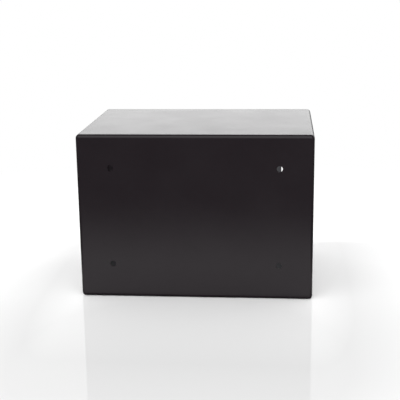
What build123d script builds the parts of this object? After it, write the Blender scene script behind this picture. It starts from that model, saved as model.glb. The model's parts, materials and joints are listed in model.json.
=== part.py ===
from build123d import *
import math
import os

# Home safe: a welded steel cabinet with a keypad door that stands ajar.
# Origin at the centre of the underside, +Z up, door on the -Y side, lengths in millimetres.
# The door and all that it carries are drawn closed, then turned open about the pivot.

# Cabinet.
SAFE_W = 350
SAFE_H = 250
SAFE_D = 250
SHELL_T = 2
EDGE_R = 5.5
BACK_BEND_R = 5
BACK_FLANGE = 8
FRAME_W = 20
LIP_DEPTH = 12
OPENING_R = 4
HOLE_INSET = 50
LOW_HOLE_Z = 52.5
HOLE_R = 4.5

# Mat on the cabinet floor.
MAT_T = 2
MAT_GAP = 4
MAT_FRONT = 16

# Door plate and the pan behind it.
DOOR_T = 4
DOOR_GAP = 2
DOOR_R = 2
DOOR_EDGE_R = 0.8
PAN_INSET = 6
PAN_DEPTH = 34
PAN_T = 1.5
PAN_FLANGE = 8
PAN_R = 3
COVER_T = 1.5
COVER_INSET = 1
AJAR_DEG = 28.5

# Pivots: an upright pin at the top and bottom of the door in a bushed plate on the frame.
PIVOT_INSET = 18
PIVOT_SETBACK = 8
PIN_R = 3
PIN_HEAD_W = 16
PIN_HEAD_H = 6
BUSH_WALL = 1
BUSH_FLANGE_R = 5
BUSH_FLANGE_T = 1
HINGE_PLATE_W = 24
HINGE_PLATE_T = 4

# Clearances.
RUN_FIT = 0.05
SIDE_GAP = 0.3
SCREW_FIT = 0.05

# Locking bolts and their carrier. The knob axis counts from the hinge edge of the plate.
KNOB_INSET = 103
KNOB_DROP = 15
BOLT_R = 9
BOLT_SPACING = 130
BOLT_BODY = 31
BOLT_PROUD = 2
BOLT_CHAMFER = 1.5
BOLT_SETBACK = 19
CARRIER_T = 2.5
STRIP_W = 42
STRIP_END = 12
ARM_H = 22
STUD_R = 4
STUD_NECK_R = 2.5
STUD_NECK_L = 5.3
STRIP_STUD_IN = 18
STRIP_STUD_SPREAD = 100
ARM_STUDS = (-90, -35)
CLIP_R = 5
CLIP_T = 1
BOLT_SCREW_R = 2.5
BOLT_SCREW_HEAD_R = 4.5
BOLT_SCREW_HEAD_T = 3
BOLT_SCREW_DEPTH = 14

# Knob, shaft and crank.
KNOB_R = 22
KNOB_BASE_T = 7
KNOB_GRIP_W = 14
KNOB_GRIP_H = 16
KNOB_GRIP_INSET = 2
KNOB_GRIP_END_R = 5
KNOB_GRIP_EDGE_R = 2.5
KNOB_EDGE_R = 1.2
KNOB_GAP = 0.5
KNOB_BORE_DEPTH = 18
SHAFT_R = 5
SHAFT_BUSH_R = 7
SHAFT_BUSH_FLANGE_R = 10
SHAFT_BUSH_FLANGE_T = 1.5
SHAFT_BUSH_TAIL = 4
SHAFT_END_R = 4
SHAFT_TAIL = 3.2
CRANK_R = 18
CRANK_SWING = 60
CRANK_T = 3
CRANK_HUB_R = 9
CRANK_TIP_R = 6
CRANK_PIN_R = 3
CRANK_PIN_PROUD = 1
CRANK_SLOT_GAP = 0.5
CRANK_GAP = 1
CIRCLIP_R = 6.5
CIRCLIP_T = 1
GRUB_R = 2
GRUB_L = 8

# Blocking solenoid, above the carrier arm.
LOCK_OFFSET = 22
SOLENOID_SETBACK = 11
SOLENOID_W = 22
SOLENOID_H = 20
SOLENOID_T = 1.5
SOLENOID_EAR = 9
SOLENOID_BACK = 9.5
COIL_R = 8.5
PLUNGER_R = 3
PLUNGER_STROKE = 5
PLUNGER_FIT = 0.1
PLUNGER_TIP_GAP = 1
PLUNGER_TAIL_R = 2
SPRING_L = 6.5
SPRING_R = 4.4
SPRING_WALL = 0.8
SPRING_COLLAR_R = 5
SPRING_COLLAR_T = 1.5
LIFT_COLLAR_R = 6
LIFT_COLLAR_T = 2.5
LIFT_GAP = 0.5
LUG_W = 10
LUG_PAST = 4

# Override lock and its swinging cover.
LOCK_RISE = 20.5
BARREL_R = 9
BARREL_FLANGE_R = 12
BARREL_FLANGE_T = 2
BARREL_TAIL = 8
LOCK_NUT_AF = 22
LOCK_NUT_T = 4
PLUG_R = 6
PLUG_SQUARE = 6
KEYWAY_W = 1.4
KEYWAY_H = 7
KEYWAY_DEPTH = 6
CAM_REACH = 19
CAM_HALF_W = 3.5
CAM_T = 2
SHUTTER_R = 12.5
SHUTTER_T = 2
SHUTTER_EDGE_R = 0.6
SHUTTER_ARM = 16
SHUTTER_EAR_R = 5
SHUTTER_GAP = 0.3
RIVET_R = 2
RIVET_HEAD_R = 4
RIVET_HEAD_T = 1.2
RIVET_DEPTH = 2

# Keypad. Its centre counts from the free edge of the plate.
KEYPAD_INSET = 83
KEYPAD_DROP = 5
KEYPAD_W = 100
KEYPAD_H = 92
KEYPAD_PROUD = 8
KEYPAD_R = 8
KEYPAD_EDGE_R = 2
KEYPAD_FACE_T = 2
KEYPAD_WALL = 3
BOSS_R = 3.5
BOSS_X = 43.5
BOSS_Z = 39
KEY_W = 17
KEY_H = 11
KEY_R = 2
KEY_EDGE_R = 0.6
KEY_PROUD = 1.5
KEY_PITCH_X = 24
KEY_PITCH_Z = 16
KEY_GRID_DROP = 7
KEY_GAP = 0.3
KEY_FLANGE = 1
KEY_FLANGE_T = 1
KEY_STOP_GAP = 0.1
KEY_TRAVEL = 0.6
KEY_STEM_R = 2.5
BOARD_T = 1.6
BOARD_MARGIN = 0.6
SWITCH_W = 6
SWITCH_H = 1
SWITCH_GAP = 0.2
PAD_T = 0.8
PAD_MARGIN = 1
LENS_R = 2
LENS_PITCH = 12
LENS_DROP = 10
LENS_PROUD = 0.5
LENS_EDGE_R = 0.4
SCREW_R = 1.5
SCREW_HEAD_R = 2.8
SCREW_HEAD_T = 2
SCREW_L = 8
SCREW_END_GAP = 0.5

# Battery tray and lid, on the inner cover, beside the crank and above the pan flange.
CELL_R = 7.15
CELL_L = 50.5
CELL_NUB_R = 2.75
CELL_NUB_L = 1.5
CELL_PITCH = 15
CELL_COUNT = 4
CONTACT_T = 0.6
CONTACT_SPRING_L = 2.4
CONTACT_SPRING_R = 3
TRAY_GAP = 3
TRAY_LIFT = 1
TRAY_WALL = 1.5
TRAY_FLANGE = 2
TRAY_DEPTH = 17
LID_T = 1.5
LID_LAP = 2
RAIL_T = 1.5
RAIL_LIP = 2
RIDGE_W = 1.5
RIDGE_T = 1
RIDGE_L = 30
RIDGE_PITCH = 4
RIDGE_COUNT = 3
COVER_SCREW_X = 105
COVER_SCREW_PAST = 1

# Control board and reset button, on the inner cover.
PCB_X = -25
PCB_LIFT = 2.5
PCB_W = 78
PCB_H = 60
PCB_PILLAR = 8
PCB_PILLAR_R = 3
PCB_PILLAR_IN = 5
PCB_NIB_R = 1.25
PCB_NIB_L = 1
PLUG_BLOCK = 8
PLUG_BLOCK_H = 5
PLUG_EDGE = 2
RELAY_W = 18
RELAY_H = 12
RELAY_T = 9
CHIP_W = 14
CHIP_T = 1.5
RESET_ASIDE = 5
RESET_BODY_W = 7
RESET_BODY_H = 4.5
RESET_END_GAP = 0.7
RESET_SINK = 0.8
RESET_R = 2
RESET_TRAVEL = 1.5
RESET_PROUD = 1.2
RESET_FLANGE_R = 3
RESET_FLANGE_T = 0.8

# Leads.
CABLE_R = 1.5
CABLE_HOLE_R = 4
CABLE_DROP = 30
CABLE_BEND_R = 6
LEAD_R = 1.25
LEAD_ASIDE = 22
LEAD_RISE = 4

mid_z = SAFE_H / 2
front = -SAFE_D / 2
back = SAFE_D / 2
open_w = SAFE_W - 2 * FRAME_W
open_h = SAFE_H - 2 * FRAME_W
plate_w = open_w - 2 * DOOR_GAP
plate_h = open_h - 2 * DOOR_GAP
plate_back = front + DOOR_T
pan_w = plate_w - 2 * PAN_INSET
pan_h = plate_h - 2 * PAN_INSET
pan_back = plate_back + PAN_DEPTH
cover_back = pan_back + COVER_T
pan_top = mid_z + pan_h / 2
flange_low_z = mid_z - pan_h / 2 + PAN_T + PAN_FLANGE
pivot_x = plate_w / 2 - PIVOT_INSET
pivot_y = front + PIVOT_SETBACK

knob_x = plate_w / 2 - KNOB_INSET
knob_z = mid_z - KNOB_DROP
bolt_travel = 2 * CRANK_R * math.sin(math.radians(CRANK_SWING / 2))
bolt_y = plate_back + BOLT_SETBACK
carrier_back = bolt_y + BOLT_R
carrier_front = carrier_back - CARRIER_T
bolt_tip_x = -pan_w / 2 - BOLT_PROUD
bolt_root_x = bolt_tip_x + BOLT_BODY
crank_back = carrier_front - CRANK_GAP
crank_front = crank_back - CRANK_T
arm_mid_z = knob_z + CRANK_R
arm_top = arm_mid_z + ARM_H / 2

solenoid_x = knob_x + LOCK_OFFSET
solenoid_y = plate_back + SOLENOID_SETBACK
plunger_tip_z = arm_top + PLUNGER_TIP_GAP
spring_low_z = plunger_tip_z + PLUNGER_STROKE + SPRING_COLLAR_T
solenoid_low_z = spring_low_z + SPRING_L
solenoid_top_z = solenoid_low_z + SOLENOID_H
lock_z = solenoid_top_z + LOCK_RISE
cam_front = solenoid_y - CAM_T / 2
cam_back = solenoid_y + CAM_T / 2
barrel_face = front - BARREL_FLANGE_T
barrel_back = plate_back + BARREL_TAIL
shutter_back = barrel_face - SHUTTER_GAP
shutter_front = shutter_back - SHUTTER_T
rivet_z = lock_z + SHUTTER_ARM

keypad_x = -plate_w / 2 + KEYPAD_INSET
keypad_z = mid_z - KEYPAD_DROP
keypad_face = front - KEYPAD_PROUD
keypad_inner = keypad_face + KEYPAD_FACE_T
board_front = front - BOARD_T
switch_top = board_front - SWITCH_H
key_flange_top = keypad_inner + KEY_STOP_GAP
key_grid_z = keypad_z - KEY_GRID_DROP
KEY_ROWS = (("1", "2", "3"), ("4", "5", "6"), ("7", "8", "9"), ("star", "0", "hash"))

bay_w = CELL_L + 2 * (CONTACT_T + CONTACT_SPRING_L)
bay_h = CELL_COUNT * CELL_PITCH
tray_x = knob_x + CRANK_HUB_R + TRAY_GAP + TRAY_WALL + bay_w / 2
tray_z = flange_low_z + TRAY_LIFT + TRAY_FLANGE + TRAY_WALL + bay_h / 2
tray_front = pan_back - TRAY_DEPTH
cell_y = tray_front + TRAY_WALL + CELL_R + SIDE_GAP
lid_front = cover_back + SIDE_GAP
lid_back = lid_front + LID_T

pcb_z = flange_low_z + PCB_LIFT + PCB_H / 2
reset_x = PCB_X - RESET_ASIDE
pcb_back = pan_back - PCB_PILLAR
pcb_front = pcb_back - BOARD_T
reset_top = pcb_back + RESET_BODY_H
reset_well = RESET_SINK + RESET_TRAVEL + RESET_END_GAP
plug_y = pcb_front - PLUG_BLOCK_H
cable_z = mid_z - CABLE_DROP


def slab(width, height, y0, y1, radius=0, x=0, z=0):
    """Upright slab between two Y positions, centred on x and z."""
    outline = RectangleRounded(width, height, radius) if radius else Rectangle(width, height)
    face = Plane(origin=(x, y1, z), x_dir=(1, 0, 0), z_dir=(0, -1, 0)) * outline
    return extrude(face, y1 - y0)


def block(x0, x1, y0, y1, z0, z1):
    """Box between two corners."""
    centre = Pos((x0 + x1) / 2, (y0 + y1) / 2, (z0 + z1) / 2)
    return centre * Box(x1 - x0, y1 - y0, z1 - z0)


def rod(start, end, radius):
    """Cylinder from one point to another."""
    line = Vector(*end) - Vector(*start)
    return extrude(Plane(origin=start, z_dir=line) * Circle(radius), line.length)


def rod_y(x, z, y0, y1, radius):
    """Cylinder along Y."""
    return rod((x, y0, z), (x, y1, z), radius)


def rod_z(x, y, z0, z1, radius):
    """Cylinder along Z."""
    return rod((x, y, z0), (x, y, z1), radius)


def hexagon_y(x, z, y0, y1, across_flats):
    """Hexagonal prism along Y."""
    face = Plane(origin=(x, y1, z), x_dir=(1, 0, 0), z_dir=(0, -1, 0))
    outline = RegularPolygon(across_flats / 2, 6, major_radius=False)
    return extrude(face * outline, y1 - y0)


def level_slot(x0, x1, z, y0, y1, radius):
    """Round-ended slot along X, cut along Y; x0 and x1 are the end centres."""
    ends = rod_y(x0, z, y0, y1, radius) + rod_y(x1, z, y0, y1, radius)
    return ends + block(x0, x1, y0, y1, z - radius, z + radius)


def flip(shape):
    """Mirror image of a shape about the cabinet's mid height."""
    return mirror(shape, Plane.XY.offset(mid_z))


def tube(points, radius, bend_r):
    """Round lead along straight runs joined by tangent arcs."""
    path = FilletPolyline(*points, radius=bend_r)
    section = Plane(origin=path @ 0, z_dir=path % 0) * Circle(radius)
    lead = sweep(section, path=path)
    error = lead.volume / (math.pi * radius**2 * path.length) - 1
    print(f"lead of {path.length:.1f} mm, bend radius {bend_r} mm, volume error {error:.5f}")
    return lead


def screw_y(x, z, head_y, direction, shank_r, length, head_r, head_t):
    """Pan-head screw along Y whose head sits on head_y and whose shank runs the other way."""
    shank = sorted((head_y, head_y - direction * length))
    head = sorted((head_y, head_y + direction * head_t))
    body = rod_y(x, z, *shank, shank_r)
    return body + rod_y(x, z, *head, head_r)


def wall_holes():
    """Places of the four fixing holes in the rear wall."""
    for x in (-SAFE_W / 2 + HOLE_INSET, SAFE_W / 2 - HOLE_INSET):
        for z in (LOW_HOLE_Z, SAFE_H - HOLE_INSET):
            yield x, z


def body_wrap():
    """Top, bottom and sides in one folded sheet."""
    y0 = front + SHELL_T
    y1 = back - BACK_FLANGE
    outer = slab(SAFE_W, SAFE_H, y0, y1, EDGE_R, z=mid_z)
    inner = slab(SAFE_W - 2 * SHELL_T, SAFE_H - 2 * SHELL_T, y0, y1, EDGE_R - SHELL_T, z=mid_z)
    return outer - inner


def pan_solid(inset):
    """Solid outline of the back pan, shrunk by an inset on its closed sides."""
    width = SAFE_W - 2 * inset
    height = SAFE_H - 2 * inset
    solid = slab(width, height, back - BACK_FLANGE, back - inset, EDGE_R - inset, z=mid_z)
    rim = solid.faces().sort_by(Axis.Y)[-1].edges()
    return fillet(rim, BACK_BEND_R - inset)


def back_panel():
    """Rear wall with its folded rim and four fixing holes."""
    panel = pan_solid(0) - pan_solid(SHELL_T)
    for x, z in wall_holes():
        panel -= rod_y(x, z, back - SHELL_T, back, HOLE_R)
    return panel


def door_frame():
    """Front frame with the return lip round the door opening."""
    lip_back = front + LIP_DEPTH
    lip_w = open_w + 2 * SHELL_T
    lip_h = open_h + 2 * SHELL_T
    ring = slab(SAFE_W, SAFE_H, front, front + SHELL_T, EDGE_R, z=mid_z)
    ring += slab(lip_w, lip_h, front + SHELL_T, lip_back, OPENING_R + SHELL_T, z=mid_z)
    ring -= slab(open_w, open_h, front, lip_back, OPENING_R, z=mid_z)
    bush_hole = rod_z(pivot_x, pivot_y, 0, SAFE_H, PIN_R + RUN_FIT + BUSH_WALL)
    return ring - bush_hole


def hinge_plates():
    """Two small plates welded to the lip, which hold the pivot bushes."""
    low = mid_z + open_h / 2 + SHELL_T
    half = HINGE_PLATE_W / 2
    plate = block(
        pivot_x - half, pivot_x + half,
        front + SHELL_T, front + LIP_DEPTH,
        low, low + HINGE_PLATE_T,
    )
    plate -= rod_z(pivot_x, pivot_y, low, low + HINGE_PLATE_T, PIN_R + RUN_FIT + BUSH_WALL)
    return Compound([plate, flip(plate)])


def pivot_bushes():
    """Flanged bushes for the two pivot pins."""
    seat = mid_z + open_h / 2
    top = seat + SHELL_T + HINGE_PLATE_T
    bush = rod_z(pivot_x, pivot_y, seat, top, PIN_R + RUN_FIT + BUSH_WALL)
    bush += rod_z(pivot_x, pivot_y, seat - BUSH_FLANGE_T, seat, BUSH_FLANGE_R)
    bush -= rod_z(pivot_x, pivot_y, seat - BUSH_FLANGE_T, top, PIN_R + RUN_FIT)
    return Compound([bush, flip(bush)])


def floor_mat():
    """Loose mat on the cabinet floor."""
    half = SAFE_W / 2 - SHELL_T - MAT_GAP
    return block(-half, half, front + MAT_FRONT, back - SHELL_T - MAT_GAP, SHELL_T, SHELL_T + MAT_T)


def door_plate():
    """Front plate of the door with its through holes."""
    plate = slab(plate_w, plate_h, front, plate_back, DOOR_R, z=mid_z)
    plate = fillet(plate.faces().sort_by(Axis.Y)[0].edges(), DOOR_EDGE_R)
    plate -= rod_y(knob_x, knob_z, front, plate_back, SHAFT_BUSH_R)
    plate -= rod_y(knob_x, lock_z, front, plate_back, BARREL_R)
    plate -= rod_y(knob_x, rivet_z, front, front + RIVET_DEPTH, RIVET_R)
    plate -= rod_y(keypad_x, cable_z, front, plate_back, CABLE_HOLE_R)
    for x, z in boss_places():
        plate -= rod_y(x, z, front, plate_back, SCREW_R + SCREW_FIT)
    for z in solenoid_screw_heights():
        plate -= rod_y(solenoid_x, z, plate_back - RIVET_DEPTH, plate_back, SCREW_R + SCREW_FIT)
    return plate


def door_pan():
    """Folded rim behind the door plate, with an inward flange for the inner cover."""
    pan = slab(pan_w, pan_h, plate_back, pan_back, PAN_R, z=mid_z)
    room_w = pan_w - 2 * PAN_T
    room_h = pan_h - 2 * PAN_T
    pan -= slab(room_w, room_h, plate_back, pan_back - PAN_T, PAN_R - PAN_T, z=mid_z)
    pan -= slab(room_w - 2 * PAN_FLANGE, room_h - 2 * PAN_FLANGE, plate_back, pan_back, z=mid_z)
    for z in bolt_heights():
        hole = ((-pan_w / 2, bolt_y, z), (-pan_w / 2 + PAN_T, bolt_y, z))
        pan -= rod(*hole, BOLT_R + SIDE_GAP)
    pan -= rod_z(pivot_x, pivot_y, mid_z - pan_h / 2, pan_top, PIN_R + SCREW_FIT)
    for x, z in cover_screw_places():
        pan -= rod_y(x, z, pan_back - PAN_T, pan_back, SCREW_R + SCREW_FIT)
    return pan


def pivot_pin():
    """Upper pivot pin with the head that is welded inside the pan."""
    head_top = pan_top - PAN_T
    seat = mid_z + open_h / 2
    half = PIN_HEAD_W / 2
    pin = block(
        pivot_x - half, pivot_x + half,
        plate_back, plate_back + 2 * (PIVOT_SETBACK - DOOR_T),
        head_top - PIN_HEAD_H, head_top,
    )
    pin += rod_z(pivot_x, pivot_y, head_top, seat + SHELL_T + HINGE_PLATE_T, PIN_R)
    shoulder_top = seat - BUSH_FLANGE_T - SIDE_GAP
    pin += rod_z(pivot_x, pivot_y, pan_top, shoulder_top, PIVOT_SETBACK - DOOR_T)
    return pin


def bolt_heights():
    """Heights of the two locking bolts."""
    return mid_z - BOLT_SPACING / 2, mid_z + BOLT_SPACING / 2


def stud_places():
    """Places of the guide studs: two in the strip and two in the arm."""
    strip_x = bolt_root_x + STRIP_STUD_IN
    for z in (knob_z - STRIP_STUD_SPREAD / 2, knob_z + STRIP_STUD_SPREAD / 2):
        yield strip_x, z
    for offset in ARM_STUDS:
        yield knob_x + offset, arm_mid_z


def bolt_carrier():
    """Folded plate that joins both bolts and takes the crank pin."""
    low = mid_z - BOLT_SPACING / 2 - STRIP_END
    high = mid_z + BOLT_SPACING / 2 + STRIP_END
    strip_x = bolt_root_x + STRIP_W
    arm_x = solenoid_x + bolt_travel / 2 + LUG_W
    lug_low = arm_top - CARRIER_T
    lug_x = solenoid_x + bolt_travel / 2
    plate = block(bolt_root_x, strip_x, carrier_front, carrier_back, low, high)
    plate += block(
        bolt_root_x, arm_x, carrier_front, carrier_back, arm_mid_z - ARM_H / 2, arm_top
    )
    plate += block(
        bolt_root_x, bolt_root_x + CARRIER_T, bolt_y - BOLT_R, carrier_back, low, high
    )
    plate += block(
        lug_x - LUG_W / 2, lug_x + LUG_W / 2,
        solenoid_y - LUG_PAST, carrier_back,
        lug_low, arm_top,
    )
    slot_r = STUD_NECK_R + SIDE_GAP
    for x, z in stud_places():
        plate -= level_slot(x, x + bolt_travel, z, carrier_front, carrier_back, slot_r)
    half_swing = math.radians(CRANK_SWING / 2)
    pin_x = knob_x + CRANK_R * math.sin(half_swing)
    pin_low = knob_z + CRANK_R * math.cos(half_swing)
    slot_r = CRANK_PIN_R + CRANK_SLOT_GAP
    plate -= block(
        pin_x - slot_r, pin_x + slot_r, carrier_front, carrier_back, pin_low, arm_mid_z
    )
    for z in (pin_low, arm_mid_z):
        plate -= rod_y(pin_x, z, carrier_front, carrier_back, slot_r)
    for z in bolt_heights():
        hole = ((bolt_root_x, bolt_y, z), (bolt_root_x + CARRIER_T, bolt_y, z))
        plate -= rod(*hole, BOLT_SCREW_R + SCREW_FIT)
    return plate


def bolt(z):
    """Round locking bolt with a tapped root."""
    body = rod((bolt_root_x, bolt_y, z), (bolt_tip_x, bolt_y, z), BOLT_R)
    body = chamfer(body.faces().sort_by(Axis.X)[0].edges(), BOLT_CHAMFER)
    depth = bolt_root_x - BOLT_SCREW_DEPTH
    return body - rod((bolt_root_x, bolt_y, z), (depth, bolt_y, z), BOLT_SCREW_R + SCREW_FIT)


def bolt_screws():
    """Screws that hold the bolts to the carrier."""
    screws = []
    seat = bolt_root_x + CARRIER_T
    for z in bolt_heights():
        tip = bolt_root_x - BOLT_SCREW_DEPTH + SCREW_END_GAP
        screw = rod((seat, bolt_y, z), (tip, bolt_y, z), BOLT_SCREW_R)
        head = ((seat, bolt_y, z), (seat + BOLT_SCREW_HEAD_T, bolt_y, z))
        screws.append(screw + rod(*head, BOLT_SCREW_HEAD_R))
    return Compound(screws)


def guide_studs():
    """Shouldered studs on the door plate that carry the sliding carrier."""
    studs = []
    seat = carrier_front - SIDE_GAP
    for x, z in stud_places():
        stud = rod_y(x, z, plate_back, seat, STUD_R)
        studs.append(stud + rod_y(x, z, seat, seat + STUD_NECK_L, STUD_NECK_R))
    return Compound(studs)


def guide_clips():
    """Snap rings on the stud necks."""
    clips = []
    seat = carrier_back + SIDE_GAP
    for x, z in stud_places():
        clip = rod_y(x, z, seat, seat + CLIP_T, CLIP_R)
        clip -= rod_y(x, z, seat, seat + CLIP_T, STUD_NECK_R)
        clip -= block(
            x - STUD_NECK_R / 2, x + STUD_NECK_R / 2, seat, seat + CLIP_T, z - CLIP_R, z
        )
        clips.append(clip)
    return Compound(clips)


def shaft_bush():
    """Flanged bush for the knob shaft."""
    tail = plate_back + SHAFT_BUSH_TAIL
    bush = rod_y(knob_x, knob_z, front, tail, SHAFT_BUSH_R)
    bush += rod_y(knob_x, knob_z, front - SHAFT_BUSH_FLANGE_T, front, SHAFT_BUSH_FLANGE_R)
    return bush - rod_y(knob_x, knob_z, front - SHAFT_BUSH_FLANGE_T, tail, SHAFT_R + RUN_FIT)


def knob():
    """Round knob with a raised grip bar."""
    seat = front - SHAFT_BUSH_FLANGE_T - KNOB_GAP
    base_face = seat - KNOB_BASE_T
    body = rod_y(knob_x, knob_z, base_face, seat, KNOB_R)
    body = fillet(body.faces().sort_by(Axis.Y)[0].edges(), KNOB_EDGE_R)
    grip = slab(
        KNOB_GRIP_W, 2 * (KNOB_R - KNOB_GRIP_INSET), base_face - KNOB_GRIP_H, base_face,
        KNOB_GRIP_END_R, x=knob_x, z=knob_z,
    )
    grip = fillet(grip.faces().sort_by(Axis.Y)[0].edges(), KNOB_GRIP_EDGE_R)
    turn = Axis((knob_x, 0, knob_z), (0, -1, 0))
    body += grip.rotate(turn, -CRANK_SWING / 2)
    body -= rod_y(knob_x, knob_z, seat - KNOB_BORE_DEPTH, seat, SHAFT_R)
    grub_y = seat - KNOB_BASE_T / 2
    hole = ((knob_x, grub_y, knob_z), (knob_x + KNOB_R, grub_y, knob_z))
    return body - rod(*hole, GRUB_R)


def knob_grub_screw():
    """Set screw between the knob and its shaft."""
    y = front - SHAFT_BUSH_FLANGE_T - KNOB_GAP - KNOB_BASE_T / 2
    start = knob_x + SHAFT_R
    screw = rod((start, y, knob_z), (start + GRUB_L, y, knob_z), GRUB_R)
    return screw - rod_y(knob_x, knob_z, y - GRUB_R, y + GRUB_R, SHAFT_R)


def knob_shaft():
    """Shaft from the knob to the crank, with a smaller end for the crank."""
    start = front - SHAFT_BUSH_FLANGE_T - KNOB_GAP - KNOB_BORE_DEPTH
    shaft = rod_y(knob_x, knob_z, start, crank_front, SHAFT_R)
    return shaft + rod_y(knob_x, knob_z, crank_front, crank_back + SHAFT_TAIL, SHAFT_END_R)


def crank():
    """Crank arm on the shaft; its pin lies a half swing from the top with the bolts drawn."""
    tip = rod_y(knob_x, arm_mid_z, crank_front, crank_back, CRANK_TIP_R)
    arm = rod_y(knob_x, knob_z, crank_front, crank_back, CRANK_HUB_R) + tip
    arm += slab(
        2 * CRANK_TIP_R, CRANK_R, crank_front, crank_back, x=knob_x, z=knob_z + CRANK_R / 2
    )
    arm += rod_y(knob_x, arm_mid_z, crank_back, carrier_back + CRANK_PIN_PROUD, CRANK_PIN_R)
    arm -= rod_y(knob_x, knob_z, crank_front, crank_back, SHAFT_END_R)
    return arm.rotate(Axis((knob_x, 0, knob_z), (0, -1, 0)), -CRANK_SWING / 2)


def crank_circlip():
    """Retaining ring behind the crank."""
    y1 = crank_back + CIRCLIP_T
    ring = rod_y(knob_x, knob_z, crank_back, y1, CIRCLIP_R)
    ring -= rod_y(knob_x, knob_z, crank_back, y1, SHAFT_END_R)
    gap = SHAFT_END_R / 2
    return ring - block(knob_x - gap, knob_x + gap, crank_back, y1, knob_z - CIRCLIP_R, knob_z)


def solenoid_screw_heights():
    """Heights of the two screws through the solenoid frame's ears."""
    return solenoid_low_z - SOLENOID_EAR / 2, solenoid_top_z + SOLENOID_EAR / 2


def solenoid_frame():
    """Folded bracket round the coil, with an ear above and below."""
    half = SOLENOID_W / 2
    strap_back = plate_back + SOLENOID_T
    x0 = solenoid_x - half
    x1 = solenoid_x + half
    end = solenoid_y + SOLENOID_BACK
    low = solenoid_low_z
    high = solenoid_top_z
    frame = block(x0, x1, plate_back, strap_back, low - SOLENOID_EAR, high + SOLENOID_EAR)
    frame += block(x0, x1, plate_back, end, low, low + SOLENOID_T)
    frame += block(x0, x1, plate_back, end, high - SOLENOID_T, high)
    frame -= rod_z(solenoid_x, solenoid_y, low, high, PLUNGER_R + SIDE_GAP)
    for z in solenoid_screw_heights():
        frame -= rod_y(solenoid_x, z, plate_back, strap_back, SCREW_R + SCREW_FIT)
    return frame


def solenoid_coil():
    """Wound coil on its bobbin."""
    low = solenoid_low_z + SOLENOID_T
    high = solenoid_top_z - SOLENOID_T
    coil = rod_z(solenoid_x, solenoid_y, low, high, COIL_R)
    return coil - rod_z(solenoid_x, solenoid_y, low, high, PLUNGER_R + PLUNGER_FIT)


def solenoid_screws():
    """Screws through the two ears into the door plate."""
    seat = plate_back + SOLENOID_T
    length = SOLENOID_T + RIVET_DEPTH
    screws = []
    for z in solenoid_screw_heights():
        screws.append(
            screw_y(solenoid_x, z, seat, 1, SCREW_R, length, SCREW_HEAD_R, SCREW_HEAD_T)
        )
    return Compound(screws)


def solenoid_spring():
    """Return spring, shown as its envelope, between the lower collar and the frame."""
    sleeve = rod_z(solenoid_x, solenoid_y, spring_low_z, solenoid_low_z, SPRING_R)
    bore_r = SPRING_R - SPRING_WALL
    return sleeve - rod_z(solenoid_x, solenoid_y, spring_low_z, solenoid_low_z, bore_r)


def solenoid_plunger():
    """Plunger with a spring collar near its tip and a lifting collar on its tail."""
    neck_z = solenoid_top_z + PLUNGER_TIP_GAP
    collar_z = lock_z + CAM_HALF_W + LIFT_GAP
    tail_top = collar_z + LIFT_COLLAR_T + PLUNGER_TIP_GAP
    x, y = solenoid_x, solenoid_y
    plunger = rod_z(x, y, plunger_tip_z, neck_z, PLUNGER_R)
    plunger += rod_z(x, y, spring_low_z - SPRING_COLLAR_T, spring_low_z, SPRING_COLLAR_R)
    plunger += rod_z(x, y, neck_z, tail_top, PLUNGER_TAIL_R)
    return plunger + rod_z(x, y, collar_z, collar_z + LIFT_COLLAR_T, LIFT_COLLAR_R)


def lock_barrel():
    """Barrel of the override lock, with its front flange."""
    barrel = rod_y(knob_x, lock_z, front, barrel_back, BARREL_R)
    barrel += rod_y(knob_x, lock_z, barrel_face, front, BARREL_FLANGE_R)
    return barrel - rod_y(knob_x, lock_z, barrel_face, barrel_back, PLUG_R + RUN_FIT)


def lock_nut():
    """Nut behind the door plate that holds the barrel."""
    y1 = plate_back + LOCK_NUT_T
    nut = hexagon_y(knob_x, lock_z, plate_back, y1, LOCK_NUT_AF)
    return nut - rod_y(knob_x, lock_z, plate_back, y1, BARREL_R)


def lock_plug():
    """Turning plug with its keyway and the square that drives the cam."""
    plug = rod_y(knob_x, lock_z, barrel_face + SIDE_GAP, barrel_back, PLUG_R)
    plug += slab(PLUG_SQUARE, PLUG_SQUARE, barrel_back, cam_back + CAM_T, x=knob_x, z=lock_z)
    keyway_end = barrel_face + KEYWAY_DEPTH
    return plug - slab(KEYWAY_W, KEYWAY_H, barrel_face, keyway_end, x=knob_x, z=lock_z)


def lock_cam():
    """Cam on the plug; it hangs down, and turned level it holds the plunger up."""
    tip_z = lock_z - CAM_REACH + CAM_HALF_W
    hub = rod_y(knob_x, lock_z, cam_front, cam_back, PLUG_R)
    cam = hub + rod_y(knob_x, tip_z, cam_front, cam_back, CAM_HALF_W)
    cam += block(
        knob_x - CAM_HALF_W, knob_x + CAM_HALF_W, cam_front, cam_back, tip_z, lock_z
    )
    return cam - slab(PLUG_SQUARE, PLUG_SQUARE, cam_front, cam_back, x=knob_x, z=lock_z)


def keyhole_cover():
    """Swinging cover that hangs in front of the override lock."""
    disc = rod_y(knob_x, lock_z, shutter_front, shutter_back, SHUTTER_R)
    ear = rod_y(knob_x, rivet_z, shutter_front, shutter_back, SHUTTER_EAR_R)
    neck = block(
        knob_x - SHUTTER_EAR_R, knob_x + SHUTTER_EAR_R,
        shutter_front, shutter_back,
        lock_z, rivet_z,
    )
    cover = disc + ear + neck
    cover = fillet(cover.faces().sort_by(Axis.Y)[0].edges(), SHUTTER_EDGE_R)
    return cover - rod_y(knob_x, rivet_z, shutter_front, shutter_back, RIVET_R + RUN_FIT)


def cover_rivet():
    """Shouldered rivet that carries the keyhole cover."""
    head = shutter_front - SHUTTER_GAP
    rivet = rod_y(knob_x, rivet_z, head, front + RIVET_DEPTH, RIVET_R)
    rivet += rod_y(knob_x, rivet_z, shutter_back + SHUTTER_GAP, front, RIVET_HEAD_R)
    return rivet + rod_y(knob_x, rivet_z, head - RIVET_HEAD_T, head, RIVET_HEAD_R)


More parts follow.
